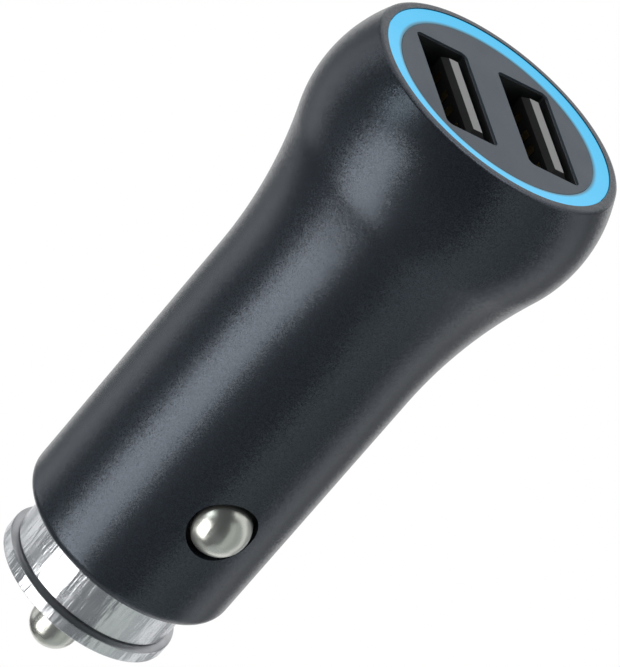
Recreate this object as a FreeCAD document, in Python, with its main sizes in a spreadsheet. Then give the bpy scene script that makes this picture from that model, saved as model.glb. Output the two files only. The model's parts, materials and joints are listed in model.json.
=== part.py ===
import FreeCAD, Part
import math
import os
import Sketcher
from FreeCAD import Placement, Rotation, Vector

# Car charger for a 12 V socket, with two USB-A ports in a lit face.
# Millimetres. The axis is Z: the USB face points to +Z and the spring pin to -Z.
# The origin is on the axis at the shoulder, where the straight barrel meets the flare.
# The two ports stand side by side along X, and the two earth contacts point to -Y and +Y.

doc = FreeCAD.newDocument("CarCharger")
sheet = doc.addObject("Spreadsheet::Sheet", "Sizes")


class Size:
    """A length with its number and the formula that gives it from the sheet."""

    def __init__(self, number, formula):
        self.number = float(number)
        self.formula = formula

    def __add__(self, other):
        other = as_size(other)
        return Size(self.number + other.number, f"({self.formula} + {other.formula})")

    def __sub__(self, other):
        other = as_size(other)
        return Size(self.number - other.number, f"({self.formula} - {other.formula})")

    def __mul__(self, other):
        other = as_size(other)
        return Size(self.number * other.number, f"({self.formula} * {other.formula})")

    def __truediv__(self, other):
        other = as_size(other)
        return Size(self.number / other.number, f"({self.formula} / {other.formula})")

    def __neg__(self):
        return Size(-self.number, f"(-1 * {self.formula})")


def as_size(value):
    return value if isinstance(value, Size) else Size(value, repr(float(value)))


def root(size):
    return Size(math.sqrt(size.number), f"sqrt({size.formula})")


def cell(name, number):
    """Put one driving size in the next row of the sheet and return it."""
    row = cell.row = getattr(cell, "row", 0) + 1
    sheet.set(f"A{row}", name)
    sheet.set(f"B{row}", str(number))
    sheet.setAlias(f"B{row}", name)
    return Size(number, f"Sizes.{name}")


# Shell
barrel_dia = cell("barrel_dia", 20.9)  # slides into a 21 mm socket
barrel_len = cell("barrel_len", 27.85)  # shoulder to the nose end
end_round = cell("end_round", 1.5)
flare_run = cell("flare_run", 19.8)  # shoulder to the widest place
face_over = cell("face_over", 6.2)  # widest place to the rim of the face
bulge_round = cell("bulge_round", 13.2)
shell_wall = cell("shell_wall", 0.9)
rim_land = cell("rim_land", 0.74)  # flat rim round the ring
rim_edge_round = cell("rim_edge_round", 0.45)
end_bore_gap = cell("end_bore_gap", 0.1)
contact_height = cell("contact_height", 11.35)  # nose end up to the earth contacts
contact_hole_gap = cell("contact_hole_gap", 0.45)

# Light ring
ring_gap = cell("ring_gap", 0.06)
ring_width = cell("ring_width", 1.5)
ring_thick = cell("ring_thick", 1.25)
ring_drop = cell("ring_drop", 0.08)  # outer edge below the rim
ring_dish = cell("ring_dish", 0.2)  # inner edge below the outer edge
leg_spread = cell("leg_spread", 38.0)  # degrees from the Y axis
leg_thick = cell("leg_thick", 0.6)
leg_wide = cell("leg_wide", 2.0)
leg_inset = cell("leg_inset", 0.15)
leg_lamp_gap = cell("leg_lamp_gap", 0.05)
notch_gap = cell("notch_gap", 0.15)

# Face plate
plate_margin = cell("plate_margin", 0.39)  # windows' outer corners to the plate's edge
plate_gap = cell("plate_gap", 0.05)
plate_flange_thick = cell("plate_flange_thick", 0.8)
plate_flange_gap = cell("plate_flange_gap", 0.2)
window_end_play = cell("window_end_play", 0.1)
window_side_play = cell("window_side_play", 0.14)
window_round = cell("window_round", 0.6)
window_lip = cell("window_lip", 0.2)
post_thick = cell("post_thick", 2.0)
post_wide = cell("post_wide", 4.4)
post_gap = cell("post_gap", 0.6)

# USB-A receptacles
port_pitch = cell("port_pitch", 8.74)
port_long = cell("port_long", 12.5)
port_wide = cell("port_wide", 5.12)
port_deep = cell("port_deep", 12.6)  # steel edge to the front board
port_wall = cell("port_wall", 0.3)
port_bend = cell("port_bend", 0.6)
port_seat_gap = cell("port_seat_gap", 0.05)
tongue_thick = cell("tongue_thick", 1.84)
tongue_back_gap = cell("tongue_back_gap", 0.54)
tongue_end_gap = cell("tongue_end_gap", 0.95)
tongue_drop = cell("tongue_drop", 0.05)  # tongue's front behind the steel edge
tongue_chamfer = cell("tongue_chamfer", 0.45)
base_gap = cell("base_gap", 0.05)
base_thick = cell("base_thick", 1.8)
finger_wide = cell("finger_wide", 1.5)
finger_long = cell("finger_long", 4.6)
finger_thick = cell("finger_thick", 0.25)
finger_lean = cell("finger_lean", 0.42)
finger_drop = cell("finger_drop", 2.2)  # finger's root behind the steel edge
finger_slot_gap = cell("finger_slot_gap", 0.25)
finger_pitch = cell("finger_pitch", 5.0)
tab_wide = cell("tab_wide", 1.6)
tab_deep = cell("tab_deep", 1.9)
tab_slot_gap = cell("tab_slot_gap", 0.1)
wire_thick = cell("wire_thick", 0.2)
wire_wide = cell("wire_wide", 1.0)
wire_bow = cell("wire_bow", 0.3)
wire_tip_gap = cell("wire_tip_gap", 1.0)
wire_inner_off = cell("wire_inner_off", 1.0)
wire_outer_off = cell("wire_outer_off", 3.5)
wire_hole_gap = cell("wire_hole_gap", 0.1)
tail_stub = cell("tail_stub", 0.8)

# Boards
front_board_thick = cell("front_board_thick", 1.2)
front_board_gap = cell("front_board_gap", 0.35)  # its edge to the shell
main_board_thick = cell("main_board_thick", 1.6)
main_board_gap = cell("main_board_gap", 0.05)  # its edges to the carrier
main_board_top_gap = cell("main_board_top_gap", 1.2)

# Carrier halves
carrier_gap = cell("carrier_gap", 0.1)
carrier_wall = cell("carrier_wall", 0.9)
rib_thick = cell("rib_thick", 1.0)
rib_reach = cell("rib_reach", 1.3)
guide_wall = cell("guide_wall", 0.8)
guide_board_gap = cell("guide_board_gap", 0.5)

# Earth contacts
contact_dome_dia = cell("contact_dome_dia", 5.36)
contact_dome_rise = cell("contact_dome_rise", 2.0)
contact_stand = cell("contact_stand", 1.67)  # barrel to the dome's tip
contact_flange_lap = cell("contact_flange_lap", 0.45)
contact_flange_thick = cell("contact_flange_thick", 0.5)
contact_wall = cell("contact_wall", 0.75)
contact_seat_gap = cell("contact_seat_gap", 0.03)
sliding_gap = cell("sliding_gap", 0.07)
contact_spring_wire = cell("contact_spring_wire", 0.35)
contact_spring_gap = cell("contact_spring_gap", 0.1)
contact_spring_turns = cell("contact_spring_turns", 7.5)
pad_thick = cell("pad_thick", 0.15)
pad_margin = cell("pad_margin", 0.47)

# Nose
nose_flange_thick = cell("nose_flange_thick", 1.0)
nose_flange_gap = cell("nose_flange_gap", 0.2)
nose_step = cell("nose_step", 2.4)  # barrel's side to the collar's side
collar_wall = cell("collar_wall", 0.8)
collar_skirt = cell("collar_skirt", 4.3)  # straight part below the shell
collar_groove_deep = cell("collar_groove_deep", 0.2)
collar_groove_wide = cell("collar_groove_wide", 0.18)
collar_rim_stand = cell("collar_rim_stand", 0.62)
collar_rim_slope = cell("collar_rim_slope", 0.3)
collar_rim_thick = cell("collar_rim_thick", 1.22)
collar_edge_round = cell("collar_edge_round", 0.12)
collar_end_thick = cell("collar_end_thick", 1.0)
thread_gap = cell("thread_gap", 0.05)
sleeve_wall = cell("sleeve_wall", 0.85)
bush_thick = cell("bush_thick", 2.4)
bush_wall = cell("bush_wall", 1.55)  # round the pin, where it passes the collar
bush_gap = cell("bush_gap", 0.05)
bush_nose_gap = cell("bush_nose_gap", 0.15)
pin_dia = cell("pin_dia", 4.67)
pin_reach = cell("pin_reach", 6.79)  # collar's end to the pin's tip
pin_flange_step = cell("pin_flange_step", 1.27)
pin_flange_thick = cell("pin_flange_thick", 1.0)
pin_boss_dia = cell("pin_boss_dia", 2.8)
pin_boss_tall = cell("pin_boss_tall", 1.0)
pin_spring_wire = cell("pin_spring_wire", 0.5)
pin_spring_dia = cell("pin_spring_dia", 4.5)
pin_spring_turns = cell("pin_spring_turns", 4.5)
pin_spring_long = cell("pin_spring_long", 4.95)
terminal_thick = cell("terminal_thick", 0.6)
lug_thick = cell("lug_thick", 0.4)
lug_wide = cell("lug_wide", 0.8)
lug_tall = cell("lug_tall", 2.6)
lug_pad_gap = cell("lug_pad_gap", 0.1)

# Parts on the boards
lamp_long = cell("lamp_long", 1.6)
lamp_wide = cell("lamp_wide", 0.8)
lamp_tall = cell("lamp_tall", 0.6)
lamp_edge_gap = cell("lamp_edge_gap", 0.05)
header_pitch = cell("header_pitch", 1.8)
header_thick = cell("header_thick", 0.5)
header_long = cell("header_long", 4.3)
header_hole_gap = cell("header_hole_gap", 0.05)
header_stand = cell("header_stand", 0.05)  # pins above the front board
can_long = cell("can_long", 5.4)
can_gap = cell("can_gap", 0.1)
can_carrier_gap = cell("can_carrier_gap", 1.25)
can_edge_round = cell("can_edge_round", 0.4)
can_crimp_start = cell("can_crimp_start", 1.2)
can_crimp_long = cell("can_crimp_long", 0.8)
can_crimp_deep = cell("can_crimp_deep", 0.15)
can_lead_dia = cell("can_lead_dia", 0.5)
can_lead_pitch = cell("can_lead_pitch", 2.5)
can_lead_run = cell("can_lead_run", 1.2)
input_can_drop = cell("input_can_drop", 0.4)  # below the converter chip
output_can_drop = cell("output_can_drop", 0.65)  # below the board pins
core_dia = cell("core_dia", 6.2)
core_tall = cell("core_tall", 4.2)
core_disc_thick = cell("core_disc_thick", 0.8)
core_post_dia = cell("core_post_dia", 3.0)
core_drop = cell("core_drop", 1.2)  # below the output capacitor's leads
winding_step = cell("winding_step", 0.3)  # core's edge to the winding
winding_turns = cell("winding_turns", 6.0)
winding_gap = cell("winding_gap", 0.05)
winding_bulge = cell("winding_bulge", 0.1)  # each turn's round above its valleys
chip_long = cell("chip_long", 4.9)
chip_wide = cell("chip_wide", 3.9)
chip_tall = cell("chip_tall", 1.4)
chip_stand = cell("chip_stand", 0.1)
chip_lead_wide = cell("chip_lead_wide", 0.4)
chip_lead_pitch = cell("chip_lead_pitch", 1.27)
chip_lead_thick = cell("chip_lead_thick", 0.2)
chip_lead_reach = cell("chip_lead_reach", 0.7)
converter_drop = cell("converter_drop", 0.4)  # below the charging chip
charging_drop = cell("charging_drop", 0.3)  # below the board pins
charging_long = cell("charging_long", 2.9)
charging_wide = cell("charging_wide", 1.6)
charging_tall = cell("charging_tall", 1.1)
charging_lead_pitch = cell("charging_lead_pitch", 0.95)
fuse_long = cell("fuse_long", 3.2)
fuse_wide = cell("fuse_wide", 1.6)
fuse_tall = cell("fuse_tall", 0.4)
fuse_up = cell("fuse_up", 1.8)  # above the main board's lower end
fuse_lug_gap = cell("fuse_lug_gap", 0.15)
fuse_cap_long = cell("fuse_cap_long", 0.65)
fuse_cap_lip = cell("fuse_cap_lip", 0.05)
small_long = cell("small_long", 1.6)
small_wide = cell("small_wide", 0.8)
small_tall = cell("small_tall", 0.5)
small_pitch = cell("small_pitch", 2.4)
small_drop = cell("small_drop", 2.0)
small_rib_gap = cell("small_rib_gap", 0.9)

converter_lead_count = 4  # along each side
charging_lead_count = 3
small_count = 4
same = 0.001  # lengths that differ by less are the same

# Radii and heights that follow from the sizes above, from the ports outwards
window_long = port_long + window_end_play * 2
window_wide = port_wide + window_side_play * 2
window_reach = port_pitch / 2 + window_wide / 2
plate_r = plate_margin + root(window_reach * window_reach + window_long * window_long / 4)
ring_inner_r = plate_r + plate_gap
ring_outer_r = ring_inner_r + ring_width
rim_bore_r = ring_outer_r + ring_gap
face_r = rim_bore_r + rim_land

barrel_r = barrel_dia / 2
bore_r = barrel_r - shell_wall
nose_end = -barrel_len
nose_seat = nose_end + shell_wall
face_height = flare_run + face_over
bulge_middle = face_r - root(bulge_round * bulge_round - face_over * face_over)
rise = bulge_middle + bulge_round - barrel_r
both_rounds = (flare_run * flare_run + rise * rise) / (rise * 2)
hollow_round = both_rounds - bulge_round
hollow_middle = barrel_r + hollow_round
inner_hollow = hollow_round + shell_wall
inner_bulge = bulge_round - shell_wall
contact_z = nose_end + contact_height

ring_top = face_height - ring_drop
ring_seat = ring_top - ring_thick
plate_top = ring_top - ring_dish
plate_under = ring_seat - plate_flange_thick
flange_level = ring_seat - flare_run
plate_flange_r = bulge_middle - plate_flange_gap + root(
    inner_bulge * inner_bulge - flange_level * flange_level
)
steel_top = plate_top - window_lip
tongue_off = port_wide / 2 - tongue_back_gap - tongue_thick / 2
tongue_long = port_long - tongue_end_gap * 2

front_board_top = steel_top - port_deep
front_board_under = front_board_top - front_board_thick
front_board_r = hollow_middle - front_board_gap - root(
    inner_hollow * inner_hollow - front_board_under * front_board_under
)
lamp_top = front_board_top + lamp_tall

carrier_r = bore_r - carrier_gap
carrier_bore = carrier_r - carrier_wall
carrier_end = nose_seat + nose_flange_thick
main_face = main_board_thick / 2
main_top = front_board_under - main_board_top_gap
main_side = root(carrier_bore * carrier_bore - main_face * main_face) - main_board_gap
rib_inner = main_side - rib_reach

dome_r = contact_dome_dia / 2
contact_hole_r = dome_r + contact_hole_gap
contact_flange_r = contact_hole_r + contact_flange_lap
contact_reach = barrel_r + contact_stand
dome_foot = contact_reach - contact_dome_rise
contact_hollow_r = dome_r - contact_wall
hollow_top = dome_foot + contact_wall
contact_spring_r = contact_hollow_r - contact_spring_gap - contact_spring_wire / 2
pad_r = contact_hollow_r - contact_spring_gap + pad_margin
guide_bore = contact_flange_r + sliding_gap
guide_r = guide_bore + guide_wall
guide_end = main_face + guide_board_gap

collar_r = barrel_r - nose_step
collar_bore = collar_r - collar_wall
spigot_r = collar_bore - thread_gap
end_bore_r = spigot_r + end_bore_gap
collar_foot = nose_end - collar_skirt
groove_end = collar_foot - collar_groove_wide
rim_shoulder = groove_end - collar_rim_slope
collar_end = rim_shoulder - collar_rim_thick
collar_inside = collar_end + collar_end_thick
bush_top = collar_inside + bush_thick
pin_r = pin_dia / 2
pin_bore = pin_r + sliding_gap
collar_hole_r = pin_bore + bush_wall + bush_gap
pin_flange_r = pin_r + pin_flange_step
pin_guide = pin_flange_r + sliding_gap
pin_flange_top = bush_top + pin_flange_thick
pin_tip = collar_end - pin_reach
terminal_under = pin_flange_top + pin_spring_long
main_end = terminal_under + terminal_thick
lug_inner = pad_r + lug_pad_gap
terminal_r = lug_inner + lug_wide

header_top = front_board_top + header_stand
header_foot = header_top - header_long
charging_top = header_foot - charging_drop
converter_top = charging_top - charging_long - converter_drop
input_can_foot = converter_top - chip_long - input_can_drop - can_long
output_can_foot = header_foot - output_can_drop - can_long
core_middle = output_can_foot - can_lead_run - core_drop - core_dia / 2


def link(thing, field, size):
    """Bind one property to its formula, and give it its number at once."""
    thing.setExpression(field, as_size(size).formula)


def new_body(name):
    body = doc.addObject("PartDesign::Body", name)
    body.Label = name
    return body


def sketch_on(body, plane, height=None, turn=None):
    """A sketch on one of the body's own origin planes, at a height above it."""
    sketch = body.newObject("Sketcher::SketchObject", body.Name + "_sketch")
    planes = {item.Role: item for item in body.Origin.OriginFeatures}
    sketch.AttachmentSupport = [(planes[plane], "")]
    sketch.MapMode = "FlatFace"
    if turn is not None:
        sketch.AttachmentOffset = Placement(Vector(0, 0, 0), Rotation(Vector(0, 0, 1), 1))
        link(sketch, "AttachmentOffset.Rotation.Angle", turn)
    if height is not None:
        link(sketch, "AttachmentOffset.Base.z", height)
    return sketch


def place_point(sketch, edge, end, x, y):
    """Hold one end of an edge at x, y from the sketch's origin."""
    for kind, size in (("DistanceX", as_size(x)), ("DistanceY", as_size(y))):
        held = sketch.addConstraint(Sketcher.Constraint(kind, -1, 1, edge, end, size.number))
        if "Sizes" in size.formula:
            sketch.setExpression(f"Constraints[{held}]", size.formula)


def arc_edge(start, stop, radius, side):
    """The arc between two points that bulges to the left (1) or right (-1) of the way."""
    chord = stop - start
    left = Vector(-chord.y, chord.x, 0).normalize()
    depth = math.sqrt(radius * radius - chord.Length * chord.Length / 4)
    middle = (start + stop) * 0.5 - left * depth * side
    first, last = (start, stop) if side < 0 else (stop, start)
    angles = [math.atan2(p.y - middle.y, p.x - middle.x) for p in (first, last)]
    circle = Part.Circle(middle, Vector(0, 0, 1), radius)
    return Part.ArcOfCircle(circle, angles[0], angles[1])


def outline(sketch, corners):
    """A closed outline. A corner is (x, y), or (x, y, radius, side) to arrive there by an arc."""
    points = [Vector(as_size(c[0]).number, as_size(c[1]).number, 0) for c in corners]
    edges = []
    for index, corner in enumerate(corners):
        start, stop = points[index - 1], points[index]
        if len(corner) == 2:
            edges.append((sketch.addGeometry(Part.LineSegment(start, stop), False), 1, 2))
            continue
        radius, side = as_size(corner[2]), corner[3]
        edge = sketch.addGeometry(arc_edge(start, stop, radius.number, side), False)
        edges.append((edge, 1, 2) if side < 0 else (edge, 2, 1))
    for index, corner in enumerate(corners):
        edge, first, last = edges[index]
        following = edges[(index + 1) % len(edges)]
        sketch.addConstraint(
            Sketcher.Constraint("Coincident", edge, last, following[0], following[1])
        )
        place_point(sketch, edge, last, corner[0], corner[1])
    for (edge, first, last), corner in zip(edges, corners):
        if len(corner) == 4:
            radius = as_size(corner[2])
            held = sketch.addConstraint(Sketcher.Constraint("Radius", edge, radius.number))
            sketch.setExpression(f"Constraints[{held}]", radius.formula)


def rectangle(sketch, low_x, high_x, low_y, high_y):
    outline(sketch, [(low_x, low_y), (high_x, low_y), (high_x, high_y), (low_x, high_y)])


def rounded_rectangle(sketch, half_x, half_y, radius, middle_x=0.0, middle_y=0.0):
    """A rectangle with round corners, drawn anticlockwise from its lower right."""
    x, y = as_size(middle_x), as_size(middle_y)
    right, left = x + half_x, x - half_x
    top, bottom = y + half_y, y - half_y
    outline(
        sketch,
        [
            (right - radius, bottom),
            (right, bottom + radius, radius, -1),
            (right, top - radius),
            (right - radius, top, radius, -1),
            (left + radius, top),
            (left, top - radius, radius, -1),
            (left, bottom + radius),
            (left + radius, bottom, radius, -1),
        ],
    )


def circle(sketch, x, y, radius):
    x, y, radius = as_size(x), as_size(y), as_size(radius)
    middle = Vector(x.number, y.number, 0)
    ring = sketch.addGeometry(Part.Circle(middle, Vector(0, 0, 1), radius.number), False)
    place_point(sketch, ring, 3, x, y)
    held = sketch.addConstraint(Sketcher.Constraint("Radius", ring, radius.number))
    sketch.setExpression(f"Constraints[{held}]", radius.formula)


def turn_profile(body, corners, angle=360.0, reverse=False):
    """Turn an outline in the XZ plane about Z. The corners are (radius, height)."""
    sketch = sketch_on(body, "XZ_Plane")
    outline(sketch, corners)
    turned = body.newObject("PartDesign::Revolution", body.Name + "_turned")
    turned.Profile = sketch
    turned.ReferenceAxis = (sketch, ["V_Axis"])
    turned.Angle = angle
    turned.Reversed = reverse
    sketch.Visibility = False
    return turned


def pad(body, sketch, length, reverse=False, both=False):
    feature = body.newObject("PartDesign::Pad", body.Name + "_pad")
    feature.Profile = sketch
    link(feature, "Length", length)
    feature.Reversed = reverse
    feature.Midplane = both
    return feature


def pocket(body, sketch, length=None, reverse=False, both=False):
    """Cut by a length, or right through when there is none."""
    feature = body.newObject("PartDesign::Pocket", body.Name + "_pocket")
    feature.Profile = sketch
    if length is None:
        feature.Type = "ThroughAll"
    else:
        link(feature, "Length", length)
    feature.Reversed = reverse
    feature.Midplane = both
    return feature


def rim_edges(shape, radius, height):
    """Names of the round edges about Z with one radius and height."""
    names = []
    for index, edge in enumerate(shape.Edges, 1):
        curve = edge.Curve
        if not isinstance(curve, Part.Circle):
            continue
        on_axis = math.hypot(curve.Center.x, curve.Center.y) < same
        level = abs(curve.Center.z - height.number) < same
        if on_axis and level and abs(curve.Radius - radius.number) < same:
            names.append(f"Edge{index}")
    return names


def arc_radius(half_chord, depth):
    """Radius of the arc over a chord of which half is given, and the depth."""
    return (half_chord * half_chord + depth * depth) / (depth * 2)


def round_edges(body, names, radius, kind="Fillet"):
    base = body.Tip
    feature = body.newObject(f"PartDesign::{kind}", f"{body.Name}_{kind.lower()}")
    feature.Base = (base, names)
    link(feature, "Radius" if kind == "Fillet" else "Size", radius)
    return feature


def block(name, low, high):
    """A plain block between two corners."""
    box = doc.addObject("Part::Box", name)
    for axis, side in enumerate(("Length", "Width", "Height")):
        link(box, side, as_size(high[axis]) - low[axis])
        link(box, "Placement.Base." + "xyz"[axis], low[axis])
    return box


def cylinder(name, middle, radius, length, along_y=False):
    """A round bar from its lower middle, upright or along Y."""
    bar = doc.addObject("Part::Cylinder", name)
    if along_y:
        bar.Placement = Placement(Vector(0, 0, 0), Rotation(Vector(1, 0, 0), -90))
    link(bar, "Radius", radius)
    link(bar, "Height", length)
    for axis in range(3):
        link(bar, "Placement.Base." + "xyz"[axis], middle[axis])
    return bar


def fused(name, pieces):
    joined = doc.addObject("Part::MultiFuse", name)
    joined.Shapes = pieces
    joined.Label = name
    return joined


def grouped(name, pieces):
    """Separate solids kept together under one name."""
    group = doc.addObject("Part::Compound", name)
    group.Links = pieces
    group.Label = name
    return group


def coil(name, foot, length, wire, radius, turns, tilt=0.0):
    """A wound spring along Z, or tilted about X, from one end of its wire's middle line."""
    path = doc.addObject("Part::Helix", name + "_path")
    link(path, "Height", length)
    link(path, "Pitch", length / turns)
    link(path, "Radius", radius)
    path.SegmentLength = 1
    wire_end = doc.addObject("Part::Circle", name + "_wire")
    wire_end.Placement = Placement(Vector(0, 0, 0), Rotation(Vector(1, 0, 0), 90))
    link(wire_end, "Radius", wire / 2)
    link(wire_end, "Placement.Base.x", radius)
    spring = doc.addObject("Part::Sweep", name)
    spring.Sections = [wire_end]
    spring.Spine = (path, [])
    spring.Solid = True
    spring.Frenet = True
    spring.Label = name
    spring.Placement = Placement(Vector(0, 0, 0), Rotation(Vector(1, 0, 0), tilt))
    for axis in range(3):
        link(spring, "Placement.Base." + "xyz"[axis], foot[axis])
    return spring


def build_shell():
    body = new_body("outer_shell")
    meet = hollow_round / both_rounds
    inner_meet = inner_hollow / both_rounds
    across = both_rounds - rise  # from one arc's middle to the other's, in radius
    land_reach = rim_bore_r - bulge_middle
    land = flare_run + root(inner_bulge * inner_bulge - land_reach * land_reach)
    turn_profile(
        body,
        [
            (end_bore_r, nose_end),
            (barrel_r - end_round, nose_end),
            (barrel_r, nose_end + end_round, end_round, -1),
            (barrel_r, 0),
            (hollow_middle - across * meet, flare_run * meet, hollow_round, 1),
            (face_r, face_height, bulge_round, -1),
            (rim_bore_r, face_height),
            (rim_bore_r, land),
            (hollow_middle - across * inner_meet, flare_run * inner_meet, inner_bulge, 1),
            (bore_r, 0, inner_hollow, -1),
            (bore_r, nose_seat),
            (end_bore_r, nose_seat),
        ],
    )
    holes = sketch_on(body, "XZ_Plane")
    circle(holes, 0, contact_z, contact_hole_r)
    pocket(body, holes, both=True)
    doc.recompute()
    round_edges(body, rim_edges(body.Shape, face_r, face_height), rim_edge_round)
    return body


def leg_angles():
    """The light guide's legs stand at equal angles either side of the Y axis."""
    return [as_size(side) + leg_spread * way for side in (90.0, 270.0) for way in (-1, 1)]


def build_ring():
    body = new_body("light_ring")
    turn_profile(
        body,
        [
            (ring_inner_r, ring_seat),
            (ring_outer_r, ring_seat),
            (ring_outer_r, ring_top),
            (ring_inner_r, plate_top),
        ],
    )
    foot = lamp_top + leg_lamp_gap
    near = ring_inner_r + leg_inset
    for angle in leg_angles():
        sketch = sketch_on(body, "XY_Plane", foot, angle)
        rectangle(sketch, near, near + leg_thick, -leg_wide / 2, leg_wide / 2)
        pad(body, sketch, ring_seat - foot)
    return body


def build_face_plate():
    body = new_body("face_plate")
    turn_profile(
        body,
        [
            (0, plate_under),
            (plate_flange_r, plate_under),
            (plate_flange_r, ring_seat),
            (plate_r, ring_seat),
            (plate_r, plate_top),
            (0, plate_top),
        ],
    )
    seat_x = port_wide / 2 + port_wall + port_seat_gap
    seat_y = port_long / 2 + port_wall + port_seat_gap
    for side in (-1, 1):
        middle = port_pitch / 2 * side
        window = sketch_on(body, "XY_Plane", plate_under)
        rounded_rectangle(window, window_wide / 2, window_long / 2, window_round, middle)
        pocket(body, window, reverse=True)
        seat = sketch_on(body, "XY_Plane", plate_under)
        rounded_rectangle(seat, seat_x, seat_y, port_bend + port_seat_gap, middle)
        pocket(body, seat, steel_top - plate_under, reverse=True)
    near = ring_inner_r + leg_inset - notch_gap
    half = leg_wide / 2 + notch_gap
    for angle in leg_angles():
        notch = sketch_on(body, "XY_Plane", ring_seat, angle)
        rectangle(notch, near, near + leg_thick + notch_gap * 2, -half, half)
        pocket(body, notch, plate_flange_thick)
    tall = plate_under - front_board_top
    post_x = port_pitch / 2 + port_wide / 2 + port_wall + post_gap
    post_y = port_long / 2 + port_wall + post_gap
    for way in (-1, 1):
        side_post = sketch_on(body, "XY_Plane", front_board_top)
        edges = sorted((post_x * way, (post_x + post_thick) * way), key=lambda e: e.number)
        rectangle(side_post, edges[0], edges[1], -post_wide / 2, post_wide / 2)
        pad(body, side_post, tall)
        end_post = sketch_on(body, "XY_Plane", front_board_top)
        edges = sorted((post_y * way, (post_y + post_thick) * way), key=lambda e: e.number)
        rectangle(end_post, -post_wide / 2, post_wide / 2, edges[0], edges[1])
        pad(body, end_post, tall)
    return body


def build_port_shell(name, side):
    """The folded steel shell of one receptacle, with its spring fingers and solder tabs."""
    body = new_body(name)
    middle = port_pitch / 2 * side
    half_x = port_wide / 2 + port_wall
    half_y = port_long / 2 + port_wall
    outside = sketch_on(body, "XY_Plane", front_board_top)
    rounded_rectangle(outside, half_x, half_y, port_bend, middle)
    pad(body, outside, steel_top - front_board_top)
    inside = sketch_on(body, "XY_Plane", front_board_top)
    rounded_rectangle(
        inside, half_x - port_wall, half_y - port_wall, port_bend - port_wall, middle
    )
    pocket(body, inside, reverse=True)
    slot_top = steel_top - finger_drop
    slot_end = slot_top - finger_long - finger_slot_gap
    half_slot = finger_wide / 2 + finger_slot_gap
    for row in (-1, 1):
        slot = sketch_on(body, "YZ_Plane", middle)
        place = finger_pitch / 2 * row
        rectangle(slot, place - half_slot, place + half_slot, slot_end, slot_top)
        pocket(body, slot, half_x * 2 + finger_slot_gap, both=True)
    root_x = half_x - finger_thick
    for way in (-1, 1):
        for row in (-1, 1):
            finger = sketch_on(body, "XZ_Plane", finger_pitch / 2 * -row)
            outline(
                finger,
                [
                    (middle + half_x * way, slot_top),
                    (middle + (half_x - finger_lean) * way, slot_top - finger_long),
                    (middle + (root_x - finger_lean) * way, slot_top - finger_long),
                    (middle + root_x * way, slot_top),
                    (middle + root_x * way, slot_top + finger_thick),
                    (middle + half_x * way, slot_top + finger_thick),
                ],
            )
            pad(body, finger, finger_wide, both=True)
    for way in (-1, 1):
        tab = sketch_on(body, "XY_Plane", front_board_top - tab_deep)
        edges = sorted(
            ((half_y - port_wall) * way, half_y * way), key=lambda e: e.number
        )
        rectangle(tab, middle - tab_wide / 2, middle + tab_wide / 2, edges[0], edges[1])
        pad(body, tab, tab_deep + finger_thick)
    return body


def wire_rows():
    return [-wire_outer_off, -wire_inner_off, wire_inner_off, wire_outer_off]


def tongue_face(side):
    """X of the tongue face that carries the contacts."""
    return port_pitch / 2 * side + tongue_off - tongue_thick / 2


def build_port_insulator(name, side):
    """The moulded base of one receptacle and the tongue that a plug closes over."""
    body = new_body(name)
    middle = port_pitch / 2 * side
    base_top = front_board_top + base_thick
    tongue_top = steel_top - tongue_drop
    base = sketch_on(body, "XY_Plane", front_board_top)
    rounded_rectangle(
        base,
        port_wide / 2 - base_gap,
        port_long / 2 - base_gap,
        port_bend - port_wall,
        middle,
    )
    pad(body, base, base_thick)
    tongue = sketch_on(body, "XY_Plane", base_top)
    near = tongue_face(side)
    rectangle(tongue, near, near + tongue_thick, -tongue_long / 2, tongue_long / 2)
    pad(body, tongue, tongue_top - base_top)
    doc.recompute()
    front = [
        f"Edge{index}"
        for index, edge in enumerate(body.Shape.Edges, 1)
        if abs(edge.BoundBox.ZMin - tongue_top.number) < same
    ]
    round_edges(body, front, tongue_chamfer, "Chamfer")
    for row in wire_rows():
        groove = sketch_on(body, "XY_Plane", front_board_top)
        half = wire_wide / 2
        rectangle(groove, near, near + wire_thick, row - half, row + half)
        pocket(body, groove, tongue_top - wire_tip_gap - front_board_top, reverse=True)
    return body


def build_port_wires(name, side):
    """The four contacts of one receptacle, bowed clear of the tongue, with their tails."""
    near = tongue_face(side)
    far = near + wire_thick
    tip = steel_top - tongue_drop - wire_tip_gap
    bend = front_board_top + base_thick
    tail = front_board_under - tail_stub
    bow_round = arc_radius((tip - bend) / 2, wire_bow)
    strips = []
    for index, row in enumerate(wire_rows()):
        sketch = doc.addObject("Sketcher::SketchObject", f"{name}_line{index}")
        sketch.Placement = Placement(Vector(0, 0, 0), Rotation(Vector(1, 0, 0), 90))
        link(sketch, "Placement.Base.y", row + wire_wide / 2)
        outline(
            sketch,
            [
                (far, tail),
                (far, bend),
                (far, tip, bow_round, 1),
                (near, tip),
                (near, bend, bow_round, -1),
                (near, tail),
            ],
        )
        strip = doc.addObject("Part::Extrusion", f"{name}_strip{index}")
        strip.Base = sketch
        strip.DirMode = "Normal"
        strip.Solid = True
        link(strip, "LengthFwd", wire_wide)
        strips.append(strip)
    return grouped(name, strips)


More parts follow.
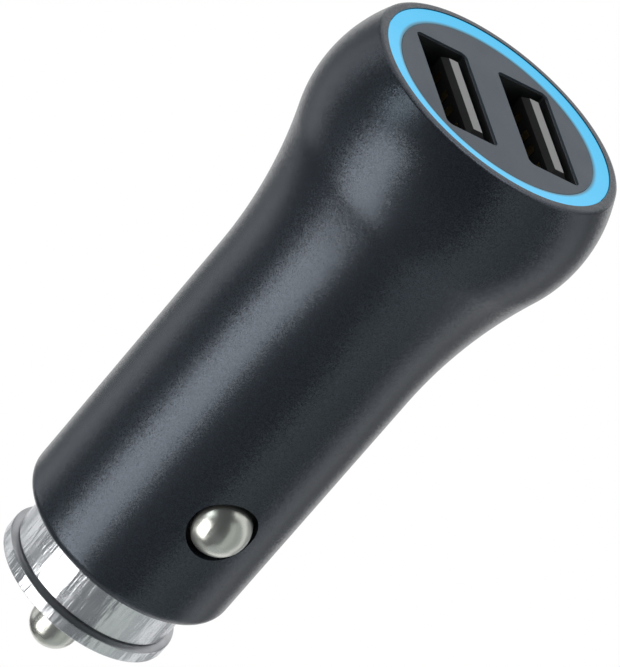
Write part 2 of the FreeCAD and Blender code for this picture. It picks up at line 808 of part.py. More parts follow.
def build_front_board():
    """The round board behind the ports, with slots and holes for what is soldered in it."""
    body = new_body("front_board")
    disc = sketch_on(body, "XY_Plane", front_board_under)
    circle(disc, 0, 0, front_board_r)
    pad(body, disc, front_board_thick)
    tab_y = port_long / 2 + port_wall / 2
    tab_half_y = port_wall / 2 + tab_slot_gap
    for side in (-1, 1):
        middle = port_pitch / 2 * side
        cuts = sketch_on(body, "XY_Plane", front_board_under)
        half = tab_wide / 2 + tab_slot_gap
        for way in (-1, 1):
            place = tab_y * way
            rectangle(
                cuts, middle - half, middle + half, place - tab_half_y, place + tab_half_y
            )
        near = tongue_face(side)
        half = wire_wide / 2 + wire_hole_gap
        for row in wire_rows():
            rectangle(
                cuts,
                near - wire_hole_gap,
                near + wire_thick + wire_hole_gap,
                row - half,
                row + half,
            )
        pocket(body, cuts, reverse=True)
    holes = sketch_on(body, "XY_Plane", front_board_under)
    hole_r = header_thick * math.sqrt(0.5) + header_hole_gap
    for x in (-1, 1):
        for y in (-1, 1):
            middle_y = (main_face + header_thick / 2) * y
            circle(holes, header_pitch / 2 * x, middle_y, hole_r)
    pocket(body, holes, reverse=True)
    return body


def build_headers():
    """Square pins that carry the front board's lines down on to the main board's faces."""
    pins = []
    for x in (-1, 1):
        for y in (-1, 1):
            middle = header_pitch / 2 * x
            low_y, high_y = (main_face, main_face + header_thick)
            if y < 0:
                low_y, high_y = -high_y, -low_y
            low = (middle - header_thick / 2, low_y, header_foot)
            high = (middle + header_thick / 2, high_y, header_top)
            pins.append(block(f"board_pins_{len(pins)}", low, high))
    return grouped("board_pins", pins)


def build_lamps():
    """One small lamp at the front board's edge under each leg of the light guide."""
    lamps = []
    reach = front_board_r - lamp_edge_gap - lamp_wide
    for angle in leg_angles():
        lamp = doc.addObject("Part::Box", f"ring_lamps_{len(lamps)}")
        link(lamp, "Length", lamp_wide)
        link(lamp, "Width", lamp_long)
        link(lamp, "Height", lamp_tall)
        ray = Vector(math.cos(math.radians(angle.number)), math.sin(math.radians(angle.number)), 0)
        side = Vector(-ray.y, ray.x, 0)
        lamp.Placement = Placement(Vector(0, 0, 0), Rotation(Vector(0, 0, 1), 1))
        link(lamp, "Placement.Rotation.Angle", angle)
        link(lamp, "Placement.Base.x", reach * ray.x - lamp_long / 2 * side.x)
        link(lamp, "Placement.Base.y", reach * ray.y - lamp_long / 2 * side.y)
        link(lamp, "Placement.Base.z", front_board_top)
        lamps.append(lamp)
    return grouped("ring_lamps", lamps)


def build_main_board():
    board = block(
        "main_board",
        (-main_side, -main_face, main_end),
        (main_side, main_face, main_top),
    )
    board.Label = "main_board"
    return board


def build_carrier(name, way):
    """Half of the split insulating tube that holds the board, with the guide of one contact."""
    body = new_body(name)
    turn_profile(
        body,
        [
            (carrier_bore, carrier_end),
            (carrier_r, carrier_end),
            (carrier_r, front_board_under),
            (carrier_bore, front_board_under),
        ],
        angle=180.0,
        reverse=way < 0,
    )
    tall = front_board_under - carrier_end
    rib_back = main_face + rib_thick
    outer = root(carrier_bore * carrier_bore - rib_back * rib_back) + carrier_wall / 2
    for side in (-1, 1):
        rib = sketch_on(body, "XY_Plane", carrier_end)
        xs = sorted((rib_inner * side, outer * side), key=lambda e: e.number)
        ys = sorted((main_face * way, rib_back * way), key=lambda e: e.number)
        rectangle(rib, xs[0], xs[1], ys[0], ys[1])
        pad(body, rib, tall)
    guide = sketch_on(body, "XZ_Plane", guide_end * -way)
    circle(guide, 0, contact_z, guide_r)
    guide_reach = root(carrier_bore * carrier_bore - guide_r * guide_r)
    pad(body, guide, guide_reach + carrier_wall / 2 - guide_end, reverse=way > 0)
    bore = sketch_on(body, "XZ_Plane")
    circle(bore, 0, contact_z, guide_bore)
    pocket(body, bore, carrier_r + carrier_wall, reverse=way < 0)
    return body


def build_contact(name, way):
    """A domed plunger, hollow for its spring, with the flange that keeps it in the shell."""
    body = new_body(name)
    seat = root(bore_r * bore_r - contact_flange_r * contact_flange_r)
    flange_front = seat - contact_seat_gap
    flange_back = flange_front - contact_flange_thick
    dome_round = arc_radius(dome_r, contact_dome_rise)
    sketch = sketch_on(body, "XY_Plane", contact_z)
    outline(
        sketch,
        [
            (contact_hollow_r, flange_back * way),
            (contact_flange_r, flange_back * way),
            (contact_flange_r, flange_front * way),
            (dome_r, flange_front * way),
            (dome_r, dome_foot * way),
            (0, contact_reach * way, dome_round, -way),
            (0, hollow_top * way),
            (contact_hollow_r, hollow_top * way),
        ],
    )
    turned = body.newObject("PartDesign::Revolution", name + "_turned")
    turned.Profile = sketch
    turned.ReferenceAxis = (sketch, ["V_Axis"])
    turned.Angle = 360.0
    return body


def build_contact_spring(name, way):
    low = main_face + pad_thick + contact_spring_wire / 2
    length = hollow_top - contact_spring_wire / 2 - low
    return coil(
        name,
        (0, low * way, contact_z),
        length,
        contact_spring_wire,
        contact_spring_r,
        contact_spring_turns,
        tilt=-90.0 * way,
    )


def build_pads():
    """The two plated pads of the main board that the contacts' springs stand on."""
    pads = []
    for way, foot in ((1, main_face), (-1, -main_face - pad_thick)):
        middle = (0, foot, contact_z)
        pads.append(cylinder(f"earth_pads_{way}", middle, pad_r, pad_thick, True))
    return grouped("earth_pads", pads)


def build_sleeve():
    """The moulded spigot that stands out of the shell's end and carries the nose."""
    body = new_body("nose_sleeve")
    counterbore = spigot_r - sleeve_wall
    flange_r = bore_r - nose_flange_gap
    turn_profile(
        body,
        [
            (pin_guide, bush_top),
            (counterbore, bush_top),
            (counterbore, collar_inside),
            (spigot_r, collar_inside),
            (spigot_r, nose_seat),
            (flange_r, nose_seat),
            (flange_r, carrier_end),
            (pin_guide, carrier_end),
        ],
    )
    return body


def build_collar():
    """The turned collar, with its undercut and its broader rim."""
    body = new_body("nose_collar")
    rim_r = collar_r + collar_rim_stand
    groove_r = collar_r - collar_groove_deep
    turn_profile(
        body,
        [
            (collar_hole_r, collar_end),
            (rim_r, collar_end),
            (rim_r, rim_shoulder),
            (collar_r, groove_end),
            (groove_r, groove_end),
            (groove_r, collar_foot),
            (collar_r, collar_foot),
            (collar_r, nose_end),
            (collar_bore, nose_end),
            (collar_bore, collar_inside),
            (collar_hole_r, collar_inside),
        ],
    )
    doc.recompute()
    names = rim_edges(body.Shape, rim_r, collar_end) + rim_edges(body.Shape, rim_r, rim_shoulder)
    round_edges(body, names, collar_edge_round)
    return body


def build_bush():
    """The insulating bush that the spring pin slides in."""
    body = new_body("pin_bush")
    bush_r = spigot_r - sleeve_wall - bush_gap
    nose_r = collar_hole_r - bush_gap
    turn_profile(
        body,
        [
            (pin_bore, collar_end + bush_nose_gap),
            (nose_r, collar_end + bush_nose_gap),
            (nose_r, collar_inside),
            (bush_r, collar_inside),
            (bush_r, bush_top),
            (pin_bore, bush_top),
        ],
    )
    return body


def build_pin():
    """The spring pin: round tip, stop flange and the boss that centres its spring."""
    body = new_body("centre_pin")
    boss_r = pin_boss_dia / 2
    boss_top = pin_flange_top + pin_boss_tall
    turn_profile(
        body,
        [
            (0, pin_tip),
            (pin_r, pin_tip + pin_r, pin_r, -1),
            (pin_r, bush_top),
            (pin_flange_r, bush_top),
            (pin_flange_r, pin_flange_top),
            (boss_r, pin_flange_top),
            (boss_r, boss_top),
            (0, boss_top),
        ],
    )
    return body


def build_pin_spring():
    low = pin_flange_top + pin_spring_wire / 2
    length = terminal_under - pin_spring_wire / 2 - low
    return coil(
        "pin_spring",
        (0, 0, low),
        length,
        pin_spring_wire,
        pin_spring_dia / 2,
        pin_spring_turns,
    )


def build_terminal():
    """The plate on the main board's end that the pin's spring presses on, with four lugs."""
    pieces = [
        cylinder("pin_terminal_plate", (0, 0, terminal_under), terminal_r, terminal_thick)
    ]
    top = main_end + lug_tall
    back = main_face + lug_thick
    for side in (-1, 1):
        for way in (-1, 1):
            xs = sorted((lug_inner * side, terminal_r * side), key=lambda e: e.number)
            ys = sorted((main_face * way, back * way), key=lambda e: e.number)
            name = f"pin_terminal_lug{len(pieces)}"
            pieces.append(block(name, (xs[0], ys[0], terminal_under), (xs[1], ys[1], top)))
    return fused("pin_terminal", pieces)


def build_can(name, foot, way):
    """An electrolytic capacitor lying along the board, with its two bent leads."""
    radius = (carrier_bore - can_carrier_gap - main_face - can_gap) / 2
    middle_y = (main_face + can_gap + radius) * way
    body = new_body(name + "_can")
    crimp_end = can_crimp_start + can_crimp_long
    crimp_round = arc_radius(can_crimp_long / 2, can_crimp_deep)
    turn_profile(
        body,
        [
            (0, 0),
            (radius - can_edge_round, 0),
            (radius, can_edge_round, can_edge_round, -1),
            (radius, can_crimp_start),
            (radius, crimp_end, crimp_round, 1),
            (radius, can_long - can_edge_round),
            (radius - can_edge_round, can_long, can_edge_round, -1),
            (0, can_long),
        ],
    )
    link(body, "Placement.Base.y", middle_y)
    link(body, "Placement.Base.z", foot)
    pieces = [body]
    lead_r = can_lead_dia / 2
    for side in (-1, 1):
        x = can_lead_pitch / 2 * side
        turn_z = foot - can_lead_run
        down = cylinder(f"{name}_run{side}", (x, middle_y, turn_z), lead_r, can_lead_run)
        base_y = main_face if way > 0 else middle_y
        reach = can_gap + radius
        across = cylinder(f"{name}_foot{side}", (x, base_y, turn_z), lead_r, reach, True)
        bend = doc.addObject("Part::Sphere", f"{name}_bend{side}")
        link(bend, "Radius", lead_r)
        for axis, size in zip("xyz", (x, middle_y, turn_z)):
            link(bend, "Placement.Base." + axis, size)
        pieces += [down, across, bend]
    return fused(name, pieces)


def lay_on_board(body, middle):
    """Stand a turned piece on the main board's +Y face, its axis along Y."""
    body.Placement = Placement(Vector(0, 0, 0), Rotation(Vector(1, 0, 0), -90))
    link(body, "Placement.Base.y", main_face)
    link(body, "Placement.Base.z", middle)


def build_choke_core():
    """The ferrite drum of the choke."""
    body = new_body("choke_core")
    disc_r, post_r = core_dia / 2, core_post_dia / 2
    turn_profile(
        body,
        [
            (0, 0),
            (disc_r, 0),
            (disc_r, core_disc_thick),
            (post_r, core_disc_thick),
            (post_r, core_tall - core_disc_thick),
            (disc_r, core_tall - core_disc_thick),
            (disc_r, core_tall),
            (0, core_tall),
        ],
    )
    lay_on_board(body, core_middle)
    return body


def build_choke_winding():
    """The choke's copper winding, its outer layer showing one round for each turn."""
    body = new_body("choke_winding")
    inner_r = core_post_dia / 2 + winding_gap
    low = core_disc_thick + winding_gap
    room = core_tall - core_disc_thick - winding_gap - low
    pitch = room / winding_turns
    outer_r = core_dia / 2 - winding_step - winding_bulge
    turn_round = arc_radius(pitch / 2, winding_bulge)
    corners = [(inner_r, low), (outer_r, low)]
    for turn in range(1, int(winding_turns.number) + 1):
        corners.append((outer_r, low + pitch * turn, turn_round, -1))
    corners.append((inner_r, low + room))
    turn_profile(body, corners)
    lay_on_board(body, core_middle)
    return body


def build_chip(name, top_end, way, long, wide, tall, lead_pitch, leads):
    """A moulded chip on the main board with its bent leads along both sides."""
    face = main_face * way
    place = top_end - long / 2

    def spread(near, far):
        return sorted((face + near * way, face + far * way), key=lambda e: e.number)

    half_x, half_z = wide / 2, long / 2
    low_y, high_y = spread(chip_stand, chip_stand + tall)
    pieces = [
        block(
            name + "_case",
            (-half_x, low_y, place - half_z),
            (half_x, high_y, place + half_z),
        )
    ]
    for side in (-1, 1):
        for number in range(leads):
            z = place + lead_pitch * (number - (leads - 1) / 2)
            low_z, high_z = z - chip_lead_wide / 2, z + chip_lead_wide / 2
            runs = (
                ("knee", chip_lead_thick, chip_stand + tall / 2 + chip_lead_thick),
                ("foot", chip_lead_reach, chip_lead_thick),
            )
            for part, reach, top in runs:
                xs = sorted((half_x * side, (half_x + reach) * side), key=lambda e: e.number)
                ys = spread(as_size(0), top)
                label = f"{name}_{part}_{side}_{number}"
                pieces.append(block(label, (xs[0], ys[0], low_z), (xs[1], ys[1], high_z)))
    return fused(name, pieces)


def build_fuse():
    """The fuse that the pin's current passes through, with its two plated ends."""
    lip = fuse_cap_lip
    low_x = terminal_r + fuse_lug_gap + lip
    high_x = low_x + fuse_wide
    low_z = main_end + fuse_up - fuse_long / 2
    high_z = low_z + fuse_long
    case = block(
        "fuse_case", (low_x, main_face + lip, low_z), (high_x, main_face + fuse_tall, high_z)
    )
    ends = [
        block(
            f"fuse_end_{number}",
            (low_x - lip, main_face, start),
            (high_x + lip, main_face + fuse_tall + lip, start + fuse_cap_long),
        )
        for number, start in enumerate((low_z - lip, high_z + lip - fuse_cap_long))
    ]
    return fused("fuse", [case] + ends)


def build_small_parts():
    """Resistors and ceramic capacitors in two rows on each face of the main board."""
    pieces = []
    for side in (-1, 1):
        for way in (-1, 1):
            for number in range(small_count):
                x = (rib_inner - small_rib_gap - small_long / 2) * side
                z = main_top - small_drop - small_pitch * number
                ys = sorted(
                    (main_face * way, (main_face + small_tall) * way), key=lambda e: e.number
                )
                pieces.append(
                    block(
                        f"small_parts_{len(pieces)}",
                        (x - small_long / 2, ys[0], z - small_wide / 2),
                        (x + small_long / 2, ys[1], z + small_wide / 2),
                    )
                )
    return grouped("small_parts", pieces)


pieces = [
    build_shell(),
    build_ring(),
    build_face_plate(),
    build_port_shell("usb_shell_left", -1),
    build_port_shell("usb_shell_right", 1),
    build_port_insulator("usb_tongue_left", -1),
    build_port_insulator("usb_tongue_right", 1),
    build_port_wires("usb_contacts_left", -1),
    build_port_wires("usb_contacts_right", 1),
    build_front_board(),
    build_headers(),
    build_lamps(),
    build_main_board(),
    build_carrier("carrier_front", -1),
    build_carrier("carrier_rear", 1),
    build_contact("earth_contact_front", -1),
    build_contact("earth_contact_rear", 1),
    build_contact_spring("earth_spring_front", -1),
    build_contact_spring("earth_spring_rear", 1),
    build_pads(),
    build_sleeve(),
    build_collar(),
    build_bush(),
    build_pin(),
    build_pin_spring(),
    build_terminal(),
    build_can("input_capacitor", input_can_foot, -1),
    build_can("output_capacitor", output_can_foot, 1),
    build_choke_core(),
    build_choke_winding(),
    build_chip(
        "converter_chip",
        converter_top,
        -1,
        chip_long,
        chip_wide,
        chip_tall,
        chip_lead_pitch,
        converter_lead_count,
    ),
    build_chip(
        "charging_chip",
        charging_top,
        -1,
        charging_long,
        charging_wide,
        charging_tall,
        charging_lead_pitch,
        charging_lead_count,
    ),
    build_fuse(),
    build_small_parts(),
]

doc.recompute()
for thing in doc.Objects:
    if "Invalid" in thing.State or "Error" in thing.State:
        raise RuntimeError(f"{thing.Name} failed: {thing.State}")
for piece in pieces:
    if piece.Shape.isNull() or not piece.Shape.isValid():
        raise RuntimeError(f"{piece.Label} has no valid shape")

os.makedirs("parts", exist_ok=True)
for piece in pieces:
    piece.Shape.exportStep(f"parts/{piece.Label}.step")
    print(piece.Label, len(piece.Shape.Solids), round(piece.Shape.Volume, 3))
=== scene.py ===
import json
import math

import bmesh
import bpy
from mathutils import Matrix, Vector


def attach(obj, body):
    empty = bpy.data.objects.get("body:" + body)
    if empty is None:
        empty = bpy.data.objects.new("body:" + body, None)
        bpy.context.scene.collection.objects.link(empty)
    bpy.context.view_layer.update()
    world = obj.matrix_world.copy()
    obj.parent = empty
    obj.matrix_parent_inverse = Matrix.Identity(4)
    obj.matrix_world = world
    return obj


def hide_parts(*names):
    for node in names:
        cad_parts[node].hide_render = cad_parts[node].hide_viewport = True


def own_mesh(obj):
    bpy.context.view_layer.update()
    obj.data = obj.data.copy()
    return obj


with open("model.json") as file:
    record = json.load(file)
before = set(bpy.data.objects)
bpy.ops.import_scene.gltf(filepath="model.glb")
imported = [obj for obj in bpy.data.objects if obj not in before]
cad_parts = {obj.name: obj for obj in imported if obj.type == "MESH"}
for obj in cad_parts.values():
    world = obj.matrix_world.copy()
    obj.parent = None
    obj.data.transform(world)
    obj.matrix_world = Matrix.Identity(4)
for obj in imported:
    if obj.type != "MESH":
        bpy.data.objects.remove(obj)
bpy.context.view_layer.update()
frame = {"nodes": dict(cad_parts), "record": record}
mm = 0.001
mergeGap = 0.0004 * mm
tiny = 0.001 * mm  # corners nearer than this are at the same place

# The charger stands on its nose in this file: Z runs up its axis to the USB face, and the
# shoulder, where the straight barrel meets the flare, is at the origin.


def drawLine(shape, start, corner, parts=1):
    # Draw a straight edge, or several in a row, to a corner (radius, height) in millimetres.
    foot, reach = start.co.copy(), Vector((corner[0] * mm, 0, corner[1] * mm)) - start.co
    for part in range(1, parts + 1):
        made = bmesh.ops.extrude_vert_indiv(shape, verts=[start])
        start = made["verts"][0]
        start.co = foot + reach * (part / parts)
    return start


def drawOutline(shape, start, corners):
    # Draw a straight edge to each corner in turn.
    for corner in corners:
        start = drawLine(shape, start, corner)
    return start


def drawArc(shape, start, middle, degrees, steps):
    # Spin one corner about a middle (radius, height), and leave the arc behind it.
    made = bmesh.ops.spin(
        shape,
        geom=[start],
        cent=(middle[0] * mm, 0, middle[1] * mm),
        axis=(0, 1, 0),
        angle=math.radians(degrees),
        steps=steps,
        use_duplicate=False,
    )
    return [item for item in made["geom_last"] if isinstance(item, bmesh.types.BMVert)][0]


def turnProfile(shape, steps):
    # Turn everything drawn so far once round Z.
    bmesh.ops.spin(
        shape,
        geom=shape.verts[:] + shape.edges[:],
        cent=(0, 0, 0),
        axis=(0, 0, 1),
        angle=math.tau,
        steps=steps,
        use_merge=True,
        use_duplicate=False,
    )
    bmesh.ops.remove_doubles(shape, verts=shape.verts[:], dist=mergeGap)
    bmesh.ops.recalc_face_normals(shape, faces=shape.faces[:])


def findRing(shape, radius, height):
    # The edges on the circle of that radius and height.
    return [
        edge for edge in shape.edges
        if all(abs(corner.co.z - height * mm) < tiny
               and abs(corner.co.xy.length - radius * mm) < tiny for corner in edge.verts)
    ]


def layShape(shape, lean, place):
    # Lean an upright shape about X, in degrees, and set it at its place in millimetres.
    turn = Matrix.Rotation(math.radians(lean), 3, "X")
    bmesh.ops.rotate(shape, verts=shape.verts[:], matrix=turn)
    bmesh.ops.translate(shape, verts=shape.verts[:], vec=[step * mm for step in place])


def placeShape(shape, name):
    # Put a shape into the scene as an object of its own.
    mesh = bpy.data.meshes.new(name)
    shape.to_mesh(mesh)
    shape.free()
    placed = bpy.data.objects.new(name, mesh)
    bpy.context.collection.objects.link(placed)
    return placed


def smoothPiece(piece, sharp=28):
    piece.data.shade_smooth()
    piece.data.set_sharp_from_angle(angle=math.radians(sharp))


def finishPiece(shape, name, material, body, node, sharp=28):
    piece = placeShape(shape, name)
    smoothPiece(piece, sharp)
    piece.data.materials.append(material)
    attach(piece, body)
    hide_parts(node)
    return piece


def applyModifiers(piece):
    # Put the modifiers' result into the piece's own mesh.
    bpy.context.view_layer.update()
    shown = piece.evaluated_get(bpy.context.evaluated_depsgraph_get())
    piece.data = bpy.data.meshes.new_from_object(shown)
    piece.modifiers.clear()


# Nodes

def addNode(tree, kind, links=None, **settings):
    # Add a node. Links are {input: socket or value}.
    node = tree.nodes.new("ShaderNode" + kind)
    for key, value in settings.items():
        setattr(node, key, value)
    for key, value in (links or {}).items():
        socket = node.inputs[key]
        if isinstance(value, bpy.types.NodeSocket):
            tree.links.new(value, socket)
        else:
            socket.default_value = value
    return node


def maths(tree, operation, *values):
    return addNode(tree, "Math", dict(enumerate(values)), operation=operation).outputs[0]


def vectorMaths(tree, operation, *values):
    return addNode(tree, "VectorMath", dict(enumerate(values)), operation=operation).outputs[0]


def scaleBy(tree, vector, factor):
    node = addNode(tree, "VectorMath", {0: vector, "Scale": factor}, operation="SCALE")
    return node.outputs[0]


def mixColours(tree, factor, low, high):
    # The low colour where the factor is 0, and the high one where it is 1.
    node = addNode(tree, "Mix", {"Factor": factor, 6: low, 7: high}, data_type="RGBA")
    return node.outputs[2]


def noise(tree, vector, scale, detail):
    links = {"Vector": vector, "Scale": scale, "Detail": detail}
    return addNode(tree, "TexNoise", links).outputs["Fac"]


def bumpBy(tree, height, depth):
    # A bumped normal from a pattern and its depth in millimetres.
    distance = maths(tree, "MULTIPLY", depth, mm)
    bump = addNode(tree, "Bump", {"Height": height, "Distance": distance, "Strength": 1.0})
    return bump.outputs[0]


def splitPlace(tree, place):
    # A place as its distance from the charger's axis and its height along it.
    apart = addNode(tree, "SeparateXYZ", {0: place})
    across = addNode(tree, "CombineXYZ", {0: apart.outputs[0], 1: apart.outputs[1], 2: 0.0})
    reach = addNode(tree, "VectorMath", {0: across.outputs[0]}, operation="LENGTH")
    return reach.outputs["Value"], apart.outputs[2]


def anyRay(tree, *kinds):
    # 1 for a ray of any of these kinds, and 0 for the rest.
    path = addNode(tree, "LightPath")
    found = path.outputs[kinds[0]]
    for kind in kinds[1:]:
        found = maths(tree, "MAXIMUM", found, path.outputs[kind])
    return found


# Shader groups

def newGroup(name, inputs, outputs):
    group = bpy.data.node_groups.new(name, "ShaderNodeTree")
    for label, value in inputs.items():
        kind = "NodeSocketColor" if isinstance(value, tuple) else "NodeSocketFloat"
        socket = group.interface.new_socket(label, in_out="INPUT", socket_type=kind)
        socket.default_value = value
    for label, kind in outputs.items():
        group.interface.new_socket(label, in_out="OUTPUT", socket_type="NodeSocket" + kind)
    start = group.nodes.new("NodeGroupInput")
    end = group.nodes.new("NodeGroupOutput")
    return group, start.outputs, end.inputs


def buildFlakeGroup():
    # Metal flake in paint: each flake has its own shade and lies at its own slight tilt.
    group, given, result = newGroup(
        "paintFlake",
        {"Base": (0.05, 0.055, 0.065, 1), "Flake Size": 0.1, "Contrast": 0.3, "Tilt": 0.1},
        {"Color": "Color", "Normal": "Vector"},
    )
    place = addNode(group, "TexCoord").outputs["Object"]
    perMetre = maths(group, "DIVIDE", 1 / mm, given["Flake Size"])
    flakes = addNode(group, "TexVoronoi", {"Vector": place, "Scale": perMetre}).outputs["Color"]
    chance = addNode(group, "SeparateColor", {0: flakes}).outputs[0]
    low = maths(group, "SUBTRACT", 1.0, given["Contrast"])
    high = maths(group, "ADD", 1.0, given["Contrast"])
    shade = addNode(group, "MapRange", {"Value": chance, "To Min": low, "To Max": high})
    centred = vectorMaths(group, "SUBTRACT", flakes, (0.5, 0.5, 0.5))
    tilt = scaleBy(group, centred, given["Tilt"])
    face = addNode(group, "NewGeometry").outputs["Normal"]
    leaning = vectorMaths(group, "ADD", face, tilt)
    group.links.new(scaleBy(group, given["Base"], shade.outputs[0]), result["Color"])
    group.links.new(vectorMaths(group, "NORMALIZE", leaning), result["Normal"])
    return group


def buildGrainGroup():
    # A fine moulded grain, with a slow drift in shade and gloss. Scales are per metre.
    pattern = {"grainDetail": 3.0, "driftScale": 220.0, "driftDetail": 2.0, "glossSwing": 0.18}
    group, given, result = newGroup(
        "mouldedGrain",
        {"Base": (0.1, 0.1, 0.1, 1), "Grain Size": 0.15, "Shade": 0.08, "Roughness": 0.5,
         "Depth": 0.004},
        {"Color": "Color", "Roughness": "Float", "Normal": "Vector"},
    )
    place = addNode(group, "TexCoord").outputs["Object"]
    perMetre = maths(group, "DIVIDE", 1 / mm, given["Grain Size"])
    grain = noise(group, place, perMetre, pattern["grainDetail"])
    drift = noise(group, place, pattern["driftScale"], pattern["driftDetail"])
    centred = maths(group, "SUBTRACT", maths(group, "ADD", grain, drift), 1.0)
    shade = maths(group, "MULTIPLY_ADD", centred, given["Shade"], 1.0)
    gloss = maths(group, "MULTIPLY_ADD", centred, pattern["glossSwing"], given["Roughness"])
    group.links.new(scaleBy(group, given["Base"], shade), result["Color"])
    group.links.new(gloss, result["Roughness"])
    group.links.new(bumpBy(group, grain, given["Depth"]), result["Normal"])
    return group


def buildTurnedGroup():
    # Metal off the lathe and out of the plating bath: fine rings, faint smudges and, on its
    # sides but not its ends, long shallow waves. Scales are per metre.
    pattern = {
        "ringScale": 16000.0, "ringDetail": 2.0, "smudgeScale": 350.0, "smudgeDetail": 4.0,
        "waveScale": 1300.0, "waveDetail": 3.0, "waveSquash": 0.16,
    }
    group, given, result = newGroup(
        "turnedMetal",
        {"Base": (0.8, 0.8, 0.8, 1), "Rings": 0.02, "Smudge": 0.05, "Roughness": 0.1,
         "Waves": 0.0},
        {"Color": "Color", "Roughness": "Float", "Normal": "Vector"},
    )
    texture = addNode(group, "TexCoord")
    place = texture.outputs["Object"]
    reach, height = splitPlace(group, place)
    along = maths(group, "SUBTRACT", reach, height)
    rings = addNode(
        group,
        "TexNoise",
        {"W": along, "Scale": pattern["ringScale"], "Detail": pattern["ringDetail"]},
        noise_dimensions="1D",
    )
    smudge = noise(group, place, pattern["smudgeScale"], pattern["smudgeDetail"])
    ringPart = maths(group, "MULTIPLY", rings.outputs["Fac"], given["Rings"])
    marks = maths(group, "MULTIPLY_ADD", smudge, given["Smudge"], ringPart)
    clean = maths(group, "SUBTRACT", 1.0, marks)
    squashed = vectorMaths(group, "MULTIPLY", place, (1.0, 1.0, pattern["waveSquash"]))
    waves = noise(group, squashed, pattern["waveScale"], pattern["waveDetail"])
    facing = addNode(group, "SeparateXYZ", {0: texture.outputs["Normal"]})
    endwise = maths(group, "ABSOLUTE", facing.outputs[2])
    depth = maths(group, "MULTIPLY", given["Waves"], maths(group, "SUBTRACT", 1.0, endwise))
    group.links.new(scaleBy(group, given["Base"], clean), result["Color"])
    group.links.new(maths(group, "ADD", marks, given["Roughness"]), result["Roughness"])
    group.links.new(bumpBy(group, waves, depth), result["Normal"])
    return group


flakeGroup = buildFlakeGroup()
grainGroup = buildGrainGroup()
turnedGroup = buildTurnedGroup()
print("shader groups made")


# Materials

def newMaterial(name, group, values, **shader):
    # A Principled material whose group feeds every socket that it has an output for.
    material = bpy.data.materials.new(name)
    material.use_nodes = True
    tree = material.node_tree
    surface = tree.nodes["Principled BSDF"]
    for label, value in shader.items():
        surface.inputs[label.replace("_", " ")].default_value = value
    finish = tree.nodes.new("ShaderNodeGroup")
    finish.node_tree = group
    for label, value in values.items():
        finish.inputs[label].default_value = value
    targets = {"Color": "Base Color", "Roughness": "Roughness", "Normal": "Normal"}
    for output in finish.outputs:
        tree.links.new(output, surface.inputs[targets[output.name]])
    return material


def plastic(name, colour, roughness=0.5, grain=0.15, shade=0.08, depth=0.004, **shader):
    values = {"Base": (*colour, 1), "Grain Size": grain, "Shade": shade,
              "Roughness": roughness, "Depth": depth}
    return newMaterial(name, grainGroup, values, **shader)


def metal(name, colour, roughness=0.1, rings=0.02, smudge=0.05, waves=0.0, **shader):
    values = {"Base": (*colour, 1), "Rings": rings, "Smudge": smudge, "Roughness": roughness,
              "Waves": waves}
    shader.setdefault("Metallic", 1.0)
    return newMaterial(name, turnedGroup, values, **shader)


def buildShellPaint():
    look = {"Base": (0.04, 0.049, 0.062, 1), "Flake Size": 0.07, "Contrast": 0.38, "Tilt": 0.12}
    return newMaterial("shellPaint", flakeGroup, look, Metallic=0.6, Roughness=0.27)


def buildTongue():
    # One insulator in painted light and shade: its flat front edge is painted pale as if lit, and
    # its sides and chamfers are painted near black as if shaded. The mask is how far the true
    # normal points along Z.
    look = {"paintedShadeSides": (0.012, 0.012, 0.013), "front": (0.41, 0.41, 0.41), "round": 0.93, "flat": 0.97}
    material = plastic("tonguePlastic", look["paintedShadeSides"], 0.55, Specular_IOR_Level=0.15)
    tree = material.node_tree
    surface = tree.nodes["Principled BSDF"]
    paintedShadeSides = surface.inputs["Base Color"].links[0].from_socket
    texture = addNode(tree, "TexCoord")
    facing = addNode(tree, "SeparateXYZ", {0: texture.outputs["Normal"]})
    front = addNode(
        tree,
        "MapRange",
        {"Value": facing.outputs[2], "From Min": look["round"], "From Max": look["flat"]},
    )
    # painted light and shade: pale where the normal faces along Z, near black elsewhere
    either = mixColours(tree, front.outputs[0], paintedShadeSides, (*look["front"], 1))
    tree.links.new(either, surface.inputs["Base Color"])
    return material


def buildRingLight():
    # Frosted light guide: its glow is a little weaker towards the inner edge.
    look = {"glow": (0.045, 0.48, 0.81), "edge": (0.04, 0.13, 0.18), "inner": 9.92, "outer": 10.32}
    material = plastic("ringLight", (0.01, 0.03, 0.04), roughness=0.4, Emission_Strength=1.0)
    tree = material.node_tree
    surface = tree.nodes["Principled BSDF"]
    reach = splitPlace(tree, addNode(tree, "TexCoord").outputs["Object"])[0]
    outwards = addNode(
        tree,
        "MapRange",
        {"Value": reach, "From Min": look["inner"] * mm, "From Max": look["outer"] * mm},
        interpolation_type="SMOOTHSTEP",
    )
    glow = mixColours(tree, outwards.outputs[0], (*look["edge"], 1), (*look["glow"], 1))
    tree.links.new(glow, surface.inputs["Emission Color"])
    return material


